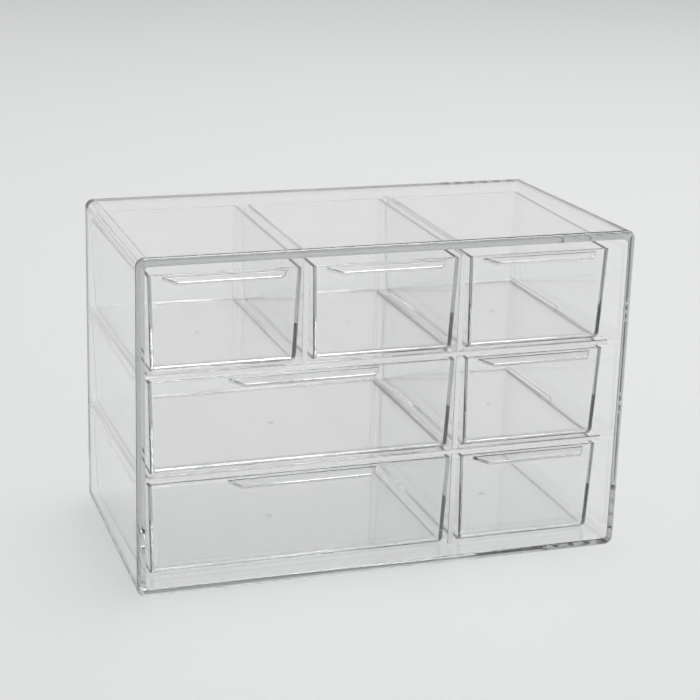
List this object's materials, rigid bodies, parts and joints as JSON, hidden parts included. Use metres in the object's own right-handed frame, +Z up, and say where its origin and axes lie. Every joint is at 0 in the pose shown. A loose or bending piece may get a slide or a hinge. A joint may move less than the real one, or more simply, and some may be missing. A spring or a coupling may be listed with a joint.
{
  "type": "drawer organizer box",
  "caption": "Clear moulded desk organizer: an open-fronted cabinet with a slotted rack of shelves and dividers and sliding drawers, small and wide, each with a thin finger lip.",
  "frame": {"origin": "middle of the base, on the surface that the cabinet stands on", "axes": "+X to the right seen from the open front, +Y from the drawers' fronts to the back, +Z up"},
  "size_m": [0.18, 0.095, 0.12],
  "materials": {
    "clear_cabinet": "clear polished polystyrene",
    "clear_rack": "clear polished polystyrene",
    "clear_drawer": "clear polished polystyrene"
  },
  "bodies": {
    "cabinet": {"cabinet_shell": "clear_cabinet", "lower_shelf": "clear_rack", "upper_shelf": "clear_rack", "long_divider": "clear_rack", "short_divider": "clear_rack"},
    "top_left_drawer": {"top_left_drawer": "clear_drawer"},
    "top_middle_drawer": {"top_middle_drawer": "clear_drawer"},
    "top_right_drawer": {"top_right_drawer": "clear_drawer"},
    "middle_wide_drawer": {"middle_wide_drawer": "clear_drawer"},
    "middle_right_drawer": {"middle_right_drawer": "clear_drawer"},
    "bottom_wide_drawer": {"bottom_wide_drawer": "clear_drawer"},
    "bottom_right_drawer": {"bottom_right_drawer": "clear_drawer"}
  },
  "joints": [
    {"name": "top_left_slide", "type": "slide", "parent": "cabinet", "child": "top_left_drawer", "axis": [0, -1, 0], "range_m": [0, 0.068]},
    {"name": "top_middle_slide", "type": "slide", "parent": "cabinet", "child": "top_middle_drawer", "axis": [0, -1, 0], "range_m": [0, 0.068]},
    {"name": "top_right_slide", "type": "slide", "parent": "cabinet", "child": "top_right_drawer", "axis": [0, -1, 0], "range_m": [0, 0.068]},
    {"name": "middle_wide_slide", "type": "slide", "parent": "cabinet", "child": "middle_wide_drawer", "axis": [0, -1, 0], "range_m": [0, 0.068]},
    {"name": "middle_right_slide", "type": "slide", "parent": "cabinet", "child": "middle_right_drawer", "axis": [0, -1, 0], "range_m": [0, 0.068]},
    {"name": "bottom_wide_slide", "type": "slide", "parent": "cabinet", "child": "bottom_wide_drawer", "axis": [0, -1, 0], "range_m": [0, 0.068]},
    {"name": "bottom_right_slide", "type": "slide", "parent": "cabinet", "child": "bottom_right_drawer", "axis": [0, -1, 0], "range_m": [0, 0.068]}
  ]
}
